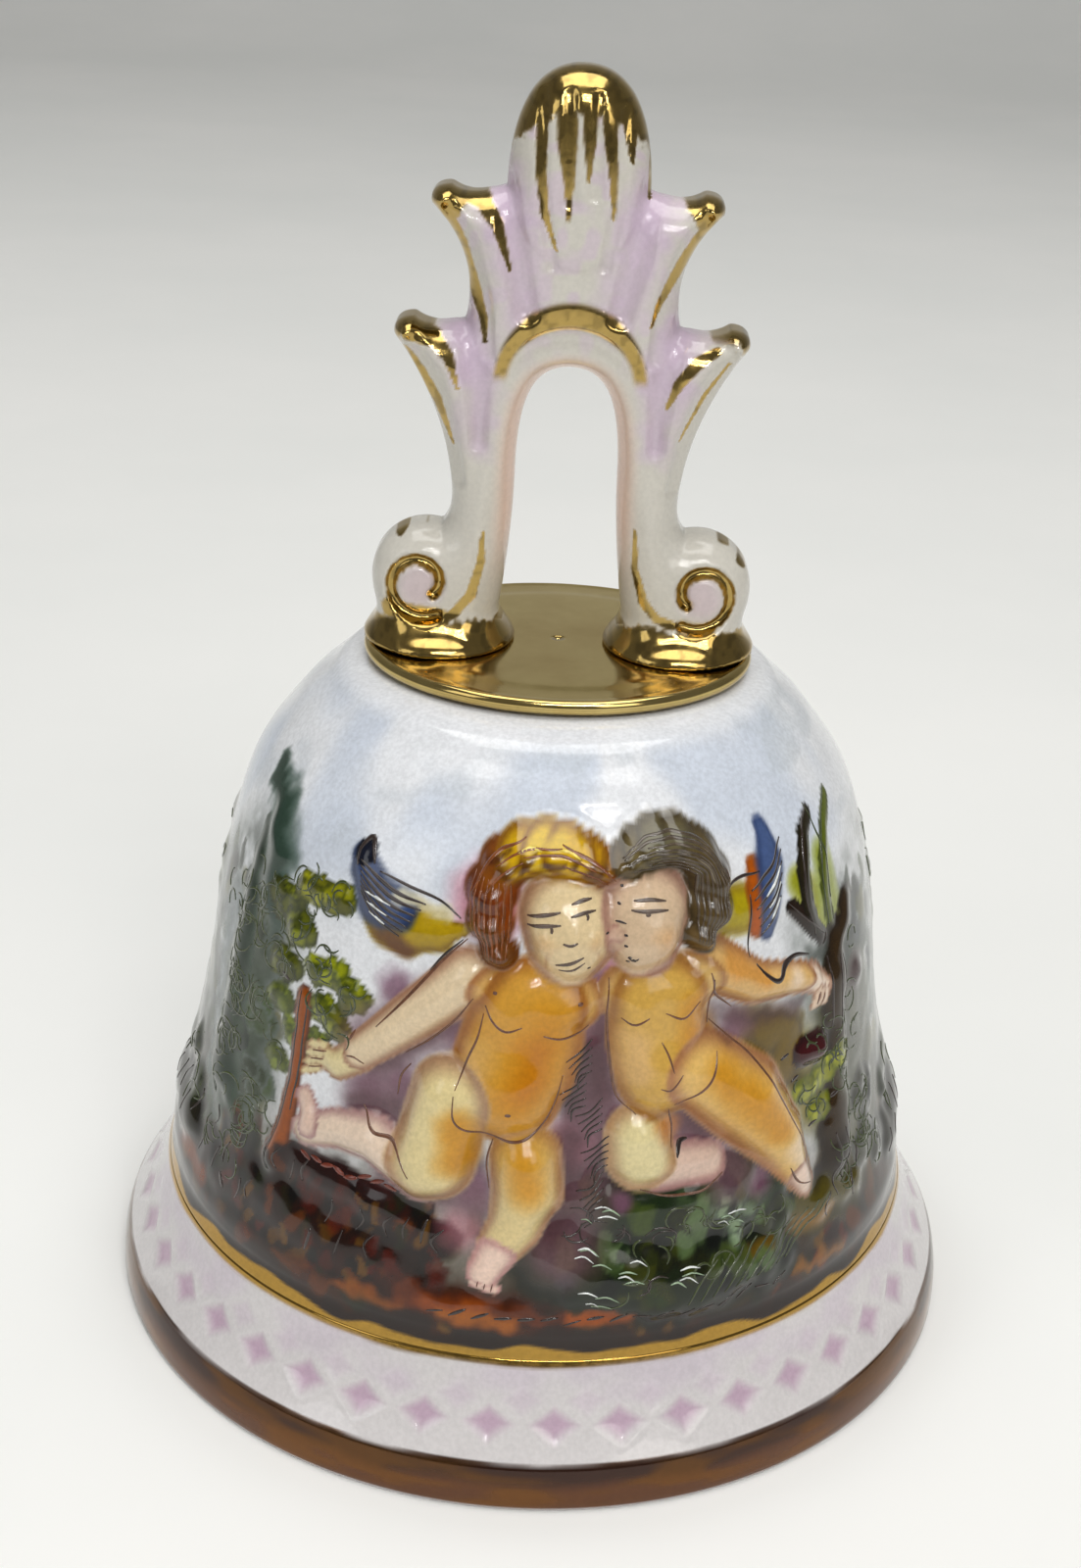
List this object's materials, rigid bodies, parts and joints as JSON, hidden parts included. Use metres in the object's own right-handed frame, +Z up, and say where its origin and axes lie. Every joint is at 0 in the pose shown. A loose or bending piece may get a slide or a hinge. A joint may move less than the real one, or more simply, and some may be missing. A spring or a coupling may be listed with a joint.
{
  "type": "hand bell",
  "caption": "Small porcelain hand bell with moulded figure relief, flared foot, gilded crown plate, openwork palmette handle and a bead clapper on a short chain.",
  "frame": {"origin": "centre of the foot ring, on the surface the bell stands on", "axes": "+Z up along the bell's axis, -Y towards the front of the relief, +X to the viewer's right"},
  "size_m": [0.075, 0.075, 0.1055],
  "materials": {
    "painted_porcelain": "glossy glaze over painted relief",
    "gilding": "mirror gold over glaze, slightly worn",
    "white_porcelain": "glossy glaze, lilac shading, gold strokes",
    "wire": "drawn wire, dulled",
    "cement": "matt",
    "bead_porcelain": "glossy glaze"
  },
  "bodies": {
    "bell": {"bell_shell": "painted_porcelain", "crown_plate": "gilding", "handle": "white_porcelain", "staple": "wire", "staple_cement": "cement"},
    "upper_link": {"chain_link_upper": "wire"},
    "lower_link": {"chain_link_lower": "wire"},
    "clapper": {"clapper_wire": "wire", "clapper_bead": "bead_porcelain", "bead_washer": "wire", "bead_stop": "wire"}
  },
  "joints": [
    {"name": "upper_link_swing", "type": "hinge", "parent": "bell", "child": "upper_link", "pos_m": [0, 0, 0.0483], "axis": [1, 0, 0], "range_deg": [-14, 14]},
    {"name": "lower_link_swing", "type": "hinge", "parent": "upper_link", "child": "lower_link", "pos_m": [0, 0, 0.04425], "axis": [0, 1, 0], "range_deg": [-33, 33]},
    {"name": "clapper_swing", "type": "hinge", "parent": "lower_link", "child": "clapper", "pos_m": [0, 0, 0.0401], "axis": [1, 0, 0], "range_deg": [-21, 21]}
  ]
}
